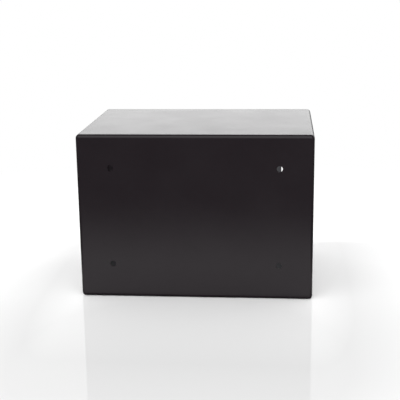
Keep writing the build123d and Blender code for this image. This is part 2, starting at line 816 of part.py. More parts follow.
def boss_places():
    """Places of the keypad housing's four screw bosses."""
    for x in (-BOSS_X, BOSS_X):
        for z in (-BOSS_Z, BOSS_Z):
            yield keypad_x + x, keypad_z + z


def key_places():
    """Name and place of each key."""
    for row, names in enumerate(KEY_ROWS):
        for column, name in enumerate(names):
            x = keypad_x + (column - 1) * KEY_PITCH_X
            z = key_grid_z + ((len(KEY_ROWS) - 1) / 2 - row) * KEY_PITCH_Z
            yield name, x, z


def lens_places():
    """Places of the three indicator lenses."""
    z = keypad_z + KEYPAD_H / 2 - LENS_DROP
    for step in (-1, 0, 1):
        yield keypad_x + step * LENS_PITCH, z


def keypad_housing():
    """Hollow panel on the door front with key and lens holes."""
    shell = slab(KEYPAD_W, KEYPAD_H, keypad_face, front, KEYPAD_R, x=keypad_x, z=keypad_z)
    shell = fillet(shell.faces().sort_by(Axis.Y)[0].edges(), KEYPAD_EDGE_R)
    room_w = KEYPAD_W - 2 * KEYPAD_WALL
    room_h = KEYPAD_H - 2 * KEYPAD_WALL
    room_r = KEYPAD_R - KEYPAD_WALL
    shell -= slab(room_w, room_h, keypad_inner, front, room_r, x=keypad_x, z=keypad_z)
    for x, z in boss_places():
        shell += rod_y(x, z, keypad_inner, front, BOSS_R)
        shell -= rod_y(x, z, plate_back - SCREW_L - SCREW_END_GAP, front, SCREW_R + SCREW_FIT)
    key_w = KEY_W + 2 * KEY_GAP
    key_h = KEY_H + 2 * KEY_GAP
    for _, x, z in key_places():
        shell -= slab(key_w, key_h, keypad_face, keypad_inner, KEY_R + KEY_GAP, x=x, z=z)
    for x, z in lens_places():
        shell -= rod_y(x, z, keypad_face, keypad_inner, LENS_R)
    return shell


def indicator_lenses():
    """Three small domed lenses in the keypad face."""
    lenses = []
    for x, z in lens_places():
        lens = rod_y(x, z, keypad_face - LENS_PROUD, keypad_inner, LENS_R)
        lenses.append(fillet(lens.faces().sort_by(Axis.Y)[0].edges(), LENS_EDGE_R))
    return Compound(lenses)


def housing_screws():
    """Screws from inside the door into the keypad housing."""
    screws = []
    for x, z in boss_places():
        screws.append(
            screw_y(x, z, plate_back, 1, SCREW_R, SCREW_L, SCREW_HEAD_R, SCREW_HEAD_T)
        )
    return Compound(screws)


def board_outline(y0, y1, margin):
    """Slab that fits between the housing's bosses and walls."""
    width = 2 * (BOSS_X - BOSS_R - margin)
    height = KEYPAD_H - 2 * KEYPAD_WALL - 2 * margin
    return slab(width, height, y0, y1, x=keypad_x, z=keypad_z)


def keypad_board():
    """Circuit board with one low switch under each key."""
    board = board_outline(board_front, front, BOARD_MARGIN)
    for _, x, z in key_places():
        board += slab(SWITCH_W, SWITCH_W, switch_top, board_front, x=x, z=z)
    for x, z in lens_places():
        board += slab(LENS_R, LENS_R, switch_top, board_front, x=x, z=z)
    return board


def keypad_rubber_mat():
    """Sealing sheet on the board, open over each switch."""
    sheet = board_outline(board_front - PAD_T, board_front, BOARD_MARGIN + PAD_MARGIN)
    hole = SWITCH_W + 2 * PAD_MARGIN
    for _, x, z in key_places():
        sheet -= slab(hole, hole, board_front - PAD_T, board_front, x=x, z=z)
    for x, z in lens_places():
        sheet -= slab(2 * LENS_R, 2 * LENS_R, board_front - PAD_T, board_front, x=x, z=z)
    return sheet


def key(x, z):
    """Key cap with its retaining flange and switch stem."""
    cap = slab(KEY_W, KEY_H, keypad_face - KEY_PROUD, key_flange_top, KEY_R, x=x, z=z)
    cap = fillet(cap.faces().sort_by(Axis.Y)[0].edges(), KEY_EDGE_R)
    reach = 2 * (KEY_GAP + KEY_FLANGE)
    flange_end = key_flange_top + KEY_FLANGE_T
    stem_end = switch_top - SWITCH_GAP - KEY_TRAVEL
    cap += slab(KEY_W + reach, KEY_H + reach, key_flange_top, flange_end, KEY_R, x=x, z=z)
    return cap + rod_y(x, z, flange_end, stem_end, KEY_STEM_R)


def cover_screw_places():
    """Places of the six inner cover screws, on the pan flange."""
    flange_mid = pan_h / 2 - PAN_T - PAN_FLANGE / 2
    for x in (-COVER_SCREW_X, 0, COVER_SCREW_X):
        for z in (-flange_mid, flange_mid):
            yield x, mid_z + z


def pillar_places():
    """Places of the four pillars that carry the control board."""
    for x in (-PCB_W / 2 + PCB_PILLAR_IN, PCB_W / 2 - PCB_PILLAR_IN):
        for z in (-PCB_H / 2 + PCB_PILLAR_IN, PCB_H / 2 - PCB_PILLAR_IN):
            yield PCB_X + x, pcb_z + z


def inner_cover():
    """Cover plate on the pan, with the battery opening, lid rails and board pillars."""
    width = pan_w - 2 * COVER_INSET
    height = pan_h - 2 * COVER_INSET
    cover = slab(width, height, pan_back, cover_back, PAN_R - COVER_INSET, z=mid_z)
    cover -= slab(bay_w, bay_h, pan_back, cover_back, x=tray_x, z=tray_z)
    cover -= rod_y(reset_x, pcb_z, pan_back, cover_back, RESET_R + SIDE_GAP)
    for x, z in cover_screw_places():
        cover -= rod_y(x, z, pan_back, cover_back, SCREW_R + SCREW_FIT)
    for x, z in pillar_places():
        cover += rod_y(x, z, pcb_back, pan_back, PCB_PILLAR_R)
        cover += rod_y(x, z, pcb_front - PCB_NIB_L, pcb_back, PCB_NIB_R)
    x0 = tray_x - bay_w / 2 - LID_LAP
    x1 = tray_x + bay_w / 2 + LID_LAP
    lip_front = lid_back + SIDE_GAP
    for side in (-1, 1):
        edge = tray_z + side * (bay_h / 2 + LID_LAP + SIDE_GAP)
        leg = sorted((edge, edge + side * RAIL_T))
        lip = sorted((edge - side * RAIL_LIP, edge + side * RAIL_T))
        cover += block(x0, x1, cover_back, lip_front + RAIL_T, *leg)
        cover += block(x0, x1, lip_front, lip_front + RAIL_T, *lip)
    return cover


def inner_cover_screws():
    """Screws that hold the inner cover to the pan flange."""
    screws = []
    length = COVER_T + PAN_T + COVER_SCREW_PAST
    for x, z in cover_screw_places():
        screws.append(
            screw_y(x, z, cover_back, 1, SCREW_R, length, SCREW_HEAD_R, SCREW_HEAD_T)
        )
    return Compound(screws)


def battery_tray():
    """Open box behind the battery opening, with a flange on the cover."""
    width = bay_w + 2 * TRAY_WALL
    height = bay_h + 2 * TRAY_WALL
    tray = slab(width, height, tray_front, pan_back, x=tray_x, z=tray_z)
    rim = 2 * TRAY_FLANGE
    rim_front = pan_back - TRAY_WALL
    tray += slab(width + rim, height + rim, rim_front, pan_back, x=tray_x, z=tray_z)
    return tray - slab(bay_w, bay_h, tray_front + TRAY_WALL, pan_back, x=tray_x, z=tray_z)


def cell_heights():
    """Height and pole direction of each cell."""
    for number in range(CELL_COUNT):
        z = tray_z + (number - (CELL_COUNT - 1) / 2) * CELL_PITCH
        yield z, 1 if number % 2 else -1


def batteries():
    """Round cells lying side by side, turned about in turn."""
    cells = []
    for z, pole in cell_heights():
        tail = tray_x - pole * CELL_L / 2
        neck = tray_x + pole * (CELL_L / 2 - CELL_NUB_L)
        nub = tray_x + pole * CELL_L / 2
        cell = rod((tail, cell_y, z), (neck, cell_y, z), CELL_R)
        cells.append(cell + rod((neck, cell_y, z), (nub, cell_y, z), CELL_NUB_R))
    return Compound(cells)


def battery_contacts():
    """Contact plates with a spring boss at each end of each cell."""
    contacts = []
    for z, _ in cell_heights():
        for side in (-1, 1):
            wall = tray_x + side * bay_w / 2
            face = wall - side * CONTACT_T
            cell_end = tray_x + side * CELL_L / 2
            half = CELL_R - SIDE_GAP
            plate = block(*sorted((wall, face)), cell_y - half, cell_y + half, z - half, z + half)
            contacts.append(plate + rod((face, cell_y, z), (cell_end, cell_y, z), CONTACT_SPRING_R))
    return Compound(contacts)


def battery_lid():
    """Sliding lid in the cover rails, with finger ridges."""
    width = bay_w + 2 * LID_LAP
    height = bay_h + 2 * LID_LAP
    lid = slab(width, height, lid_front, lid_back, x=tray_x, z=tray_z)
    for step in range(RIDGE_COUNT):
        x = tray_x - bay_w / 2 + RIDGE_PITCH * (step + 1)
        lid += slab(RIDGE_W, RIDGE_L, lid_back, lid_back + RIDGE_T, x=x, z=tray_z)
    return lid


def plug_places():
    """Places of the three lead sockets: keypad, solenoid and battery."""
    edge = PCB_X + PCB_W / 2
    yield PCB_X - PCB_W / 2 + PLUG_BLOCK, pcb_z
    yield edge - 2 * PLUG_BLOCK, pcb_z + PCB_H / 2 - PLUG_BLOCK / 2
    yield edge - PLUG_BLOCK / 2 - PLUG_EDGE, pcb_z - PLUG_BLOCK


def control_board():
    """Circuit board with sockets, relay, chip and the reset switch."""
    board = slab(PCB_W, PCB_H, pcb_front, pcb_back, x=PCB_X, z=pcb_z)
    for x, z in plug_places():
        board += slab(PLUG_BLOCK, PLUG_BLOCK, plug_y, pcb_front, x=x, z=z)
    relay_z = pcb_z - PCB_H / 2 + RELAY_H
    board += slab(RELAY_W, RELAY_H, pcb_front - RELAY_T, pcb_front, x=PCB_X, z=relay_z)
    board += slab(CHIP_W, CHIP_W, pcb_front - CHIP_T, pcb_front, x=PCB_X, z=pcb_z + CHIP_W / 2)
    board += slab(RESET_BODY_W, RESET_BODY_W, pcb_back, reset_top, x=reset_x, z=pcb_z)
    board -= rod_y(reset_x, pcb_z, reset_top - reset_well, reset_top, RESET_R + SIDE_GAP)
    for x, z in pillar_places():
        board -= rod_y(x, z, pcb_front, pcb_back, PCB_NIB_R + SCREW_FIT)
    return board


def reset_button():
    """Push button through the inner cover."""
    button = rod_y(reset_x, pcb_z, reset_top - RESET_SINK, cover_back + RESET_PROUD, RESET_R)
    flange_back = pan_back - KEY_STOP_GAP
    flange_front = flange_back - RESET_FLANGE_T
    return button + rod_y(reset_x, pcb_z, flange_front, flange_back, RESET_FLANGE_R)


def keypad_cable():
    """Lead from the keypad board through the door plate to the control board."""
    socket, _, _ = plug_places()
    run_y = plate_back + BOLT_SETBACK / 2
    points = (
        (keypad_x, front, cable_z),
        (keypad_x, run_y, cable_z),
        (socket[0], run_y, socket[1]),
        (socket[0], plug_y, socket[1]),
    )
    return tube(points, CABLE_R, CABLE_BEND_R)


def power_leads():
    """Leads of the solenoid and of the battery tray."""
    _, socket, battery_socket = plug_places()
    x, z = socket
    y = solenoid_y
    coil_z = solenoid_low_z + LEAD_RISE
    lead_x = knob_x - LEAD_ASIDE
    points = (
        (solenoid_x - COIL_R, y, coil_z),
        (lead_x, y, coil_z),
        (lead_x, y, z),
        (x, y, z),
        (x, plug_y, z),
    )
    solenoid_lead = tube(points, LEAD_R, CABLE_BEND_R)
    x, z = battery_socket
    y = pcb_front - PLUG_BLOCK_H / 2
    wall = tray_x - bay_w / 2 - TRAY_WALL
    battery_lead = rod((x + PLUG_BLOCK / 2, y, z), (wall, y, z), LEAD_R)
    return Compound([solenoid_lead, battery_lead])


def ajar(shape):
    """Turn a piece of the closed door to its open rest position."""
    return shape.rotate(Axis((pivot_x, pivot_y, 0), (0, 0, 1)), AJAR_DEG)


cabinet = {
    "body_wrap": body_wrap(),
    "back_panel": back_panel(),
    "door_frame": door_frame(),
    "hinge_plates": hinge_plates(),
    "pivot_bushes": pivot_bushes(),
    "floor_mat": floor_mat(),
}
door = {
    "door_plate": door_plate(),
    "door_pan": door_pan(),
    "pivot_pin_upper": pivot_pin(),
    "pivot_pin_lower": flip(pivot_pin()),
    "keypad_housing": keypad_housing(),
    "indicator_lenses": indicator_lenses(),
    "keypad_board": keypad_board(),
    "keypad_rubber_mat": keypad_rubber_mat(),
    "housing_screws": housing_screws(),
    "shaft_bush": shaft_bush(),
    "guide_studs": guide_studs(),
    "guide_clips": guide_clips(),
    "solenoid_frame": solenoid_frame(),
    "solenoid_coil": solenoid_coil(),
    "solenoid_screws": solenoid_screws(),
    "solenoid_spring": solenoid_spring(),
    "lock_barrel": lock_barrel(),
    "lock_nut": lock_nut(),
    "cover_rivet": cover_rivet(),
    "inner_cover": inner_cover(),
    "inner_cover_screws": inner_cover_screws(),
    "battery_tray": battery_tray(),
    "batteries": batteries(),
    "battery_contacts": battery_contacts(),
    "control_board": control_board(),
    "keypad_cable": keypad_cable(),
    "power_leads": power_leads(),
    "bolt_carrier": bolt_carrier(),
    "bolt_lower": bolt(bolt_heights()[0]),
    "bolt_upper": bolt(bolt_heights()[1]),
    "bolt_screws": bolt_screws(),
    "knob": knob(),
    "knob_shaft": knob_shaft(),
    "knob_grub_screw": knob_grub_screw(),
    "crank": crank(),
    "crank_circlip": crank_circlip(),
    "solenoid_plunger": solenoid_plunger(),
    "lock_plug": lock_plug(),
    "lock_cam": lock_cam(),
    "keyhole_cover": keyhole_cover(),
    "battery_lid": battery_lid(),
    "reset_button": reset_button(),
}
for name, x, z in key_places():
    door["key_" + name] = key(x, z)

os.makedirs("parts", exist_ok=True)
for name, shape in cabinet.items():
    export_step(shape, f"parts/{name}.step")
for name, shape in door.items():
    export_step(ajar(shape), f"parts/{name}.step")
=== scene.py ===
import json
import math

import bmesh
import bpy
from mathutils import Matrix, Vector


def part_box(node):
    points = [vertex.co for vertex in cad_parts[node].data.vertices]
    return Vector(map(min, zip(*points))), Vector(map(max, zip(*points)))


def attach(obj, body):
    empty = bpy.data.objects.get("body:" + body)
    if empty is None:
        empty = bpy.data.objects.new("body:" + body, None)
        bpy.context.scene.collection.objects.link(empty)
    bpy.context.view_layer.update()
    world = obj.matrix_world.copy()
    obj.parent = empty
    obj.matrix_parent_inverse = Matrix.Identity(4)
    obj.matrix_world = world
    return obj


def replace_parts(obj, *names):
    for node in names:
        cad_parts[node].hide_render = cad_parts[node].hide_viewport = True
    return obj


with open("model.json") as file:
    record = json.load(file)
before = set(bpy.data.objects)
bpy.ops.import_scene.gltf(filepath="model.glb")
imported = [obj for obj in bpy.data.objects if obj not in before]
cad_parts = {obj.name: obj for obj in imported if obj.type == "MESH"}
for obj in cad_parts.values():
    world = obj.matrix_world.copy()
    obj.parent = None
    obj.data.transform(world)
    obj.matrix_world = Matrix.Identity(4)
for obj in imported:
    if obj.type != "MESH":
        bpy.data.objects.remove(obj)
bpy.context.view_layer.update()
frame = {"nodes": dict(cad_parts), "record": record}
nodes = frame["nodes"]

# The door stands ajar: its pieces are placed as on the shut door, then turned about the pivot.
AJAR = math.radians(28.5)
PIVOT = Vector((0.135, -0.117, 0))
DOOR_OPEN = Matrix.Translation(PIVOT) @ Matrix.Rotation(AJAR, 4, "Z") @ Matrix.Translation(-PIVOT)
TO_DOOR_FRONT = Matrix.Rotation(math.radians(90), 4, "X")

# Outer faces of the cabinet, the seam between its wrap and its rear panel, and what counts as no distance.
HALF_W = 0.175
REAR_Y = 0.125
REAR_SEAM = 0.117
TOLERANCE = 0.00001

# Camera: focal length, turns in degrees, and its place from the rear face's lower left corner as the
# camera sees it, counted to the right, up and out.
FOCAL_LENGTH = 83.401
CAMERA_ROLL = 0.774
CAMERA_PITCH = 14.151
CAMERA_YAW = -5.190
CAMERA_PLACE = (0.3030, 0.4870, 1.3196)

# Keys and their printed signs.
KEY_ROWS = (("1", "2", "3"), ("4", "5", "6"), ("7", "8", "9"), ("star", "0", "hash"))
SIGNS = {"star": "*", "hash": "#"}
LEGEND_H = 0.0078
STAR_SCALE = 1.3
PRINT_T = 0.00005

# Screws of the inner cover.
SCREW_HEAD_R = 0.0028
SCREW_HEAD_T = 0.002
SCREW_R = 0.0015
SCREW_L = 0.004
RECESS_R = 0.0017
RECESS_W = 0.0006
RECESS_CUT = 0.003
RECESS_MID = 0.0021

# Cells and their contacts.
CELL_COUNT = 4
CELL_PITCH = 0.015
CELL_END_L = 0.0019
BAND_INSET = 0.0065
BAND_HALF_W = 0.0008
CONTACT_W = 0.0137
CONTACT_T = 0.0006
CONTACT_EASE = 0.0002
BOSS_R = 0.003
BOSS_TOP_R = 0.002
BOSS_EASE = 0.0005
WIRE_R = 0.0003
COIL_R = 0.0027
COIL_TURNS = 3
COIL_STEPS = 20
COIL_TAPER = 0.45

# Index mark on the knob's grip.
MARK_W = 0.0013
MARK_L = 0.0065
MARK_OUT = 0.0135
KNOB_REST_TURN = math.radians(30)

# Felt mat.
MAT_CORNER = 0.004
MAT_EASE = 0.0007

# Lenses, circuit boards and the solenoid's winding.
LENS_PITCH = 0.012
# Reach of the painted glow in the middle of each lens.
PAINTED_GLOW_REACH = 0.0016
BOARD_T = 0.0016
BOARD_SETBACK = 0.008
PAD_PITCH = 0.00254
WIRE_PITCH = 0.00045
BOBBIN_T = 0.0012

# Floor: half its width, its tone, the palest tone to the camera, how much paler painted light makes it by
# the safe, the point that its fade is measured from, and the painted dark reflection that the safe's gloss
# shows.
FLOOR_REACH = 40
FLOOR_TONE = 0.86
FLOOR_PALEST = 1.22
FLOOR_PAINTED_LIFT = 0.22
FLOOR_MIDDLE = (0, 0.35, 0)
PAINTED_DARK_REFLECTION_TONE = (0.05, 0.05, 0.05, 1)

WHITE = (1, 1, 1, 1)

# Surround: its light on the safe, and in gloss the dark room and the upper part of the bright wall.
SURROUND_FILL = 0.72
ROOM_GLOSS = 0.05
UPPER_GLOSS = 0.70


def shut_box(name):
    """Lowest and highest corner of a node with the door shut."""
    shut = DOOR_OPEN.inverted()
    places = [shut @ vertex.co for vertex in nodes[name].data.vertices]
    return Vector(map(min, zip(*places))), Vector(map(max, zip(*places)))


def add_camera():
    """Camera behind the cabinet, above its top."""
    lens = bpy.data.cameras.new("camera")
    lens.sensor_width = 36
    lens.lens = FOCAL_LENGTH
    lens.clip_end = 100
    holder = bpy.data.objects.new("camera", lens)
    roll = Matrix.Rotation(math.radians(CAMERA_ROLL), 4, "Z")
    pitch = Matrix.Rotation(math.radians(CAMERA_PITCH), 4, "X")
    yaw = Matrix.Rotation(math.radians(CAMERA_YAW), 4, "Y")
    behind = Matrix(((-1, 0, 0, HALF_W), (0, 0, 1, REAR_Y), (0, 1, 0, 0), (0, 0, 0, 1)))
    holder.matrix_world = behind @ Matrix.Translation(CAMERA_PLACE) @ (roll @ pitch @ yaw).transposed()
    bpy.context.scene.collection.objects.link(holder)
    bpy.context.scene.camera = holder


# Node helpers for the finishes and the surround.
class Graph:
    def __init__(self, tree):
        self.tree = tree

    def add(self, kind, inputs=None, **settings):
        node = self.tree.nodes.new(kind)
        for key, value in settings.items():
            setattr(node, key, value)
        for key, value in (inputs or {}).items():
            self.join(value, node.inputs[key])
        return node

    def join(self, value, socket):
        if isinstance(value, bpy.types.NodeSocket):
            self.tree.links.new(value, socket)
        else:
            socket.default_value = value

    def calc(self, kind, *values):
        return self.add("ShaderNodeMath", dict(enumerate(values)), operation=kind).outputs[0]

    def spread(self, factor, low, high, start=0.0, end=1.0):
        values = {0: factor, 1: start, 2: end, 3: low, 4: high}
        return self.add("ShaderNodeMapRange", values).outputs[0]


class Finish(Graph):
    def __init__(self, name):
        self.material = bpy.data.materials.new(name)
        self.material.use_nodes = True
        super().__init__(self.material.node_tree)
        self.shader = self.tree.nodes["Principled BSDF"]
        self.place = self.add("ShaderNodeTexCoord").outputs["Object"]

    def shut_place(self):
        """Object coordinates turned back to where the piece is on the shut door."""
        back = Matrix.Rotation(-AJAR, 3, "Z")
        values = {"Vector": self.place, "Location": PIVOT - back @ PIVOT, "Rotation": (0, 0, -AJAR)}
        return self.add("ShaderNodeMapping", values).outputs[0]

    def axes(self, place=None):
        parts = self.add("ShaderNodeSeparateXYZ", {0: place or self.place}).outputs
        return parts["X"], parts["Y"], parts["Z"]

    def stretched(self, x, y, z, place=None):
        values = {"Vector": place or self.place, "Scale": (x, y, z)}
        return self.add("ShaderNodeMapping", values).outputs[0]

    def noise(self, scale, detail=2, roughness=0.5, place=None):
        values = {"Scale": scale, "Detail": detail, "Roughness": roughness}
        values["Vector"] = place or self.place
        return self.add("ShaderNodeTexNoise", values).outputs["Fac"]

    def ramp(self, factor, low, high, start=0.0, end=1.0):
        node = self.add("ShaderNodeValToRGB", {"Fac": factor})
        for stop, at, tone in zip(node.color_ramp.elements, (start, end), (low, high)):
            stop.position = at
            stop.color = (*tone, 1)
        return node.outputs["Color"]

    def cover(self, share, under, over):
        """One colour laid over another."""
        node = self.add("ShaderNodeMix", {"Factor": share}, data_type="RGBA")
        colours = [socket for socket in node.inputs if socket.type == "RGBA"]
        for socket, colour in zip(colours, (under, over)):
            self.join((*colour, 1) if isinstance(colour, tuple) else colour, socket)
        return [socket for socket in node.outputs if socket.type == "RGBA"][0]

    def bump(self, height, depth, strength=1.0, under=None):
        values = {"Height": height, "Distance": depth, "Strength": strength}
        if under:
            values["Normal"] = under
        normal = self.add("ShaderNodeBump", values).outputs["Normal"]
        self.join(normal, self.shader.inputs["Normal"])
        return normal

    def set(self, **values):
        names = {"colour": "Base Color", "metal": "Metallic", "rough": "Roughness", "ior": "IOR",
                 "coat": "Coat Weight", "coat_rough": "Coat Roughness", "sheen": "Sheen Weight",
                 "sheen_rough": "Sheen Roughness"}
        for key, value in values.items():
            if isinstance(value, tuple):
                value = (*value, 1)
            self.join(value, self.shader.inputs[names[key]])
        return self.material


# Finishes.
def powder_coat(name, dark, light, rough, seam=False):
    """Satin powder coat: fine orange peel with a finer grain, a little uneven in gloss."""
    f = Finish(name)
    cloud = f.noise(14, 3)
    peel = f.noise(900, 2, 0.45)
    grain = f.noise(3200, 1)
    normal = f.bump(f.calc("ADD", peel, grain), 0.00006, 0.15)
    gloss = f.calc("ADD", cloud, peel)
    colour = f.ramp(cloud, dark, light, 0.3, 0.7)
    if seam:
        y = f.axes()[1]
        line = f.calc("ABSOLUTE", f.calc("SUBTRACT", y, REAR_SEAM))
        level = f.spread(line, 0.0, 1.0, 0.0001, 0.0005)
        f.bump(level, 0.0001, 0.8, normal)
        colour = f.cover(level, tuple(tone * 0.5 for tone in dark), colour)
    return f.set(colour=colour, rough=f.spread(gloss, rough - 0.03, rough + 0.03, 0.7, 1.3), ior=1.4)


def zinc_plate():
    """Bright zinc: faint clouds, drawn lines and a few handling scratches."""
    f = Finish("bright zinc plate")
    cloud = f.noise(160, 3, 0.6)
    lines = f.noise(900, 2, 0.6, f.stretched(1, 1, 0.06))
    scratch = f.spread(f.noise(420, 4, 0.8, f.stretched(0.2, 1, 1)), 0.0, 1.0, 0.62, 0.68)
    f.bump(f.calc("ADD", lines, scratch), 0.00002, 0.4)
    gloss = f.calc("ADD", cloud, f.calc("MULTIPLY", lines, 0.5))
    colour = f.ramp(cloud, (0.52, 0.53, 0.54), (0.68, 0.67, 0.62), 0.3, 0.7)
    return f.set(colour=colour, metal=1.0, rough=f.spread(gloss, 0.26, 0.46, 0.5, 1.0))


def bright_chrome():
    """Polished chrome with a faint haze from handling."""
    f = Finish("bright chrome")
    haze = f.noise(55, 4, 0.6)
    f.bump(f.noise(130, 1), 0.00003, 0.25)
    colour = f.ramp(haze, (0.76, 0.77, 0.78), (0.84, 0.84, 0.84), 0.35, 0.65)
    return f.set(colour=colour, metal=1.0, rough=f.spread(haze, 0.07, 0.17, 0.35, 0.7))


def turned_brass():
    """Turned brass with fine tool marks, a little dulled in places."""
    f = Finish("turned brass")
    dull = f.noise(240, 3, 0.6)
    marks = f.noise(2600, 1, 0.5, f.stretched(0.15, 1, 0.15))
    f.bump(marks, 0.000005, 0.3)
    colour = f.ramp(dull, (0.66, 0.49, 0.23), (0.76, 0.58, 0.29), 0.3, 0.7)
    return f.set(colour=colour, metal=1.0, rough=f.spread(dull, 0.26, 0.36, 0.3, 0.7))


def moulded_plastic(name, dark, light, rough):
    """Moulded plastic with a fine sparked grain from its tool."""
    f = Finish(name)
    cloud = f.noise(60, 2)
    grain = f.noise(2400, 3, 0.6)
    f.bump(grain, 0.00005, 0.6)
    gloss = f.calc("ADD", cloud, grain)
    return f.set(colour=f.ramp(f.calc("MULTIPLY", gloss, 0.5), dark, light, 0.35, 0.65),
                 rough=f.spread(gloss, rough - 0.06, rough + 0.06, 0.7, 1.3))


def lens_tints():
    """Red, green and yellow lenses, left to right, with a painted glow that makes each dome paler towards its
    middle.
    """
    f = Finish("tinted lens plastic")
    x, _, z = f.axes(f.shut_place())
    low, high = shut_box("indicator_lenses")
    middle = (low + high) / 2
    off_middle = f.calc("SUBTRACT", x, middle.x)
    left = f.calc("LESS_THAN", off_middle, -LENS_PITCH / 2)
    right = f.calc("GREATER_THAN", off_middle, LENS_PITCH / 2)
    tint = f.cover(right, f.cover(left, (0.10, 0.42, 0.13), (0.50, 0.05, 0.04)), (0.62, 0.43, 0.06))
    aside = f.calc("PINGPONG", off_middle, LENS_PITCH / 2)
    up = f.calc("SUBTRACT", z, middle.z)
    reach = f.calc("SQRT", f.calc("ADD", f.calc("POWER", aside, 2.0), f.calc("POWER", up, 2.0)))
    # Painted glow: each dome's tint is laid over with a pale tone towards its middle.
    painted_glow = f.spread(reach, 0.45, 0.0, 0.0, PAINTED_GLOW_REACH)
    f.bump(f.noise(1500, 1), 0.00002, 0.2)
    return f.set(colour=f.cover(painted_glow, tint, (0.90, 0.88, 0.80)), rough=f.spread(f.noise(700), 0.08, 0.16),
                 coat=0.5, coat_rough=0.05)


def printed_board(name, back):
    """Green solder mask with tracks and tinned pads; what stands off the board is black."""
    f = Finish(name)
    place = f.shut_place()
    x, y, z = f.axes(place)
    depth = f.calc("ABSOLUTE", f.calc("SUBTRACT", y, back - BOARD_T / 2))
    parts = f.calc("GREATER_THAN", depth, BOARD_T / 2 + 0.00005)
    flat = f.stretched(1, 0.01, 1, place)
    cells = f.add("ShaderNodeTexVoronoi", {"Vector": flat, "Scale": 210.0}, distance="MANHATTAN")
    edge = f.calc("ABSOLUTE", f.calc("SUBTRACT", cells.outputs["Distance"], 0.45))
    tracks = f.calc("LESS_THAN", edge, 0.05)
    row = f.calc("SUBTRACT", f.calc("FRACT", f.calc("DIVIDE", z, PAD_PITCH)), 0.5)
    column = f.calc("SUBTRACT", f.calc("FRACT", f.calc("DIVIDE", x, PAD_PITCH)), 0.5)
    reach = f.calc("SQRT", f.calc("ADD", f.calc("MULTIPLY", row, row), f.calc("MULTIPLY", column, column)))
    chosen = f.calc("GREATER_THAN", f.noise(75, 0, 0.5, flat), 0.56)
    pads = f.calc("MULTIPLY", f.calc("LESS_THAN", reach, 0.27), chosen)
    mask = f.cover(tracks, (0.012, 0.105, 0.035), (0.03, 0.20, 0.07))
    colour = f.cover(parts, f.cover(pads, mask, (0.62, 0.62, 0.60)), (0.018, 0.018, 0.020))
    f.bump(f.calc("ADD", tracks, pads), 0.00004, 0.6)
    bare = f.calc("MULTIPLY", pads, f.calc("SUBTRACT", 1.0, parts))
    return f.set(colour=colour, metal=bare, rough=f.spread(parts, 0.30, 0.55))


def sheet_rubber():
    """Grey rubber with a faint bloom."""
    f = Finish("grey sheet rubber")
    bloom = f.noise(120, 4, 0.65)
    f.bump(f.noise(1800, 2), 0.00004, 0.5)
    return f.set(colour=f.ramp(bloom, (0.16, 0.16, 0.16), (0.23, 0.23, 0.225), 0.3, 0.7),
                 rough=f.spread(bloom, 0.62, 0.78), sheen=0.1, sheen_rough=0.5)


def wound_wire():
    """Turns of enamelled wire between the black ends of the bobbin, with painted shade in the grooves between
    the turns.
    """
    f = Finish("enamelled copper winding")
    z = f.axes()[2]
    low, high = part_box("solenoid_coil")
    turns = f.calc("SINE", f.calc("MULTIPLY", z, math.tau / WIRE_PITCH))
    to_end = f.calc("ABSOLUTE", f.calc("SUBTRACT", z, (low.z + high.z) / 2))
    bobbin = f.calc("GREATER_THAN", to_end, (high.z - low.z) / 2 - BOBBIN_T)
    # Painted shade: the copper is darker in the grooves between the turns and paler on their crests.
    wire_with_painted_shade = f.cover(f.spread(turns, 0.0, 1.0, -1.0, 1.0), (0.30, 0.09, 0.03), (0.72, 0.33, 0.16))
    f.bump(turns, 0.0001, 0.8)
    return f.set(colour=f.cover(bobbin, wire_with_painted_shade, (0.02, 0.02, 0.02)), rough=f.spread(bobbin, 0.3, 0.5),
                 metal=f.calc("MULTIPLY", f.calc("SUBTRACT", 1.0, bobbin), 0.75))


def shrink_wrap():
    """Dark shrink wrap on the cells, with bare metal ends and a thin pale band by each."""
    f = Finish("cell shrink wrap")
    x = f.axes(f.shut_place())[0]
    low, high = shut_box("batteries")
    half = (high.x - low.x) / 2
    to_end = f.calc("ABSOLUTE", f.calc("SUBTRACT", x, (low.x + high.x) / 2))
    metal = f.calc("GREATER_THAN", to_end, half - CELL_END_L)
    to_band = f.calc("ABSOLUTE", f.calc("SUBTRACT", to_end, half - BAND_INSET))
    band = f.calc("LESS_THAN", to_band, BAND_HALF_W)
    creases = f.noise(500, 3, 0.6, f.stretched(1, 0.2, 0.2))
    film = f.ramp(creases, (0.07, 0.085, 0.12), (0.11, 0.13, 0.18), 0.3, 0.7)
    wrap = f.cover(band, film, (0.55, 0.57, 0.6))
    f.bump(creases, 0.00004, 0.4)
    return f.set(colour=f.cover(metal, wrap, (0.62, 0.62, 0.6)), metal=metal,
                 rough=f.spread(metal, 0.22, 0.34))


def glossy_red():
    """Glossy red plastic of the reset button."""
    f = Finish("glossy red plastic")
    flow = f.noise(300, 2)
    f.bump(f.noise(1100, 1), 0.00002, 0.3)
    return f.set(colour=f.ramp(flow, (0.48, 0.03, 0.025), (0.62, 0.05, 0.04), 0.3, 0.7),
                 rough=f.spread(flow, 0.22, 0.32), coat=0.3, coat_rough=0.1)


def lead_jacket():
    """Soft jacket of the leads, with fine drawn streaks."""
    f = Finish("black lead jacket")
    streaks = f.noise(700, 2, 0.5, f.stretched(1, 1, 0.1))
    f.bump(streaks, 0.00003, 0.4)
    return f.set(colour=f.ramp(streaks, (0.022, 0.022, 0.023), (0.045, 0.045, 0.046), 0.3, 0.7),
                 rough=f.spread(streaks, 0.42, 0.58))


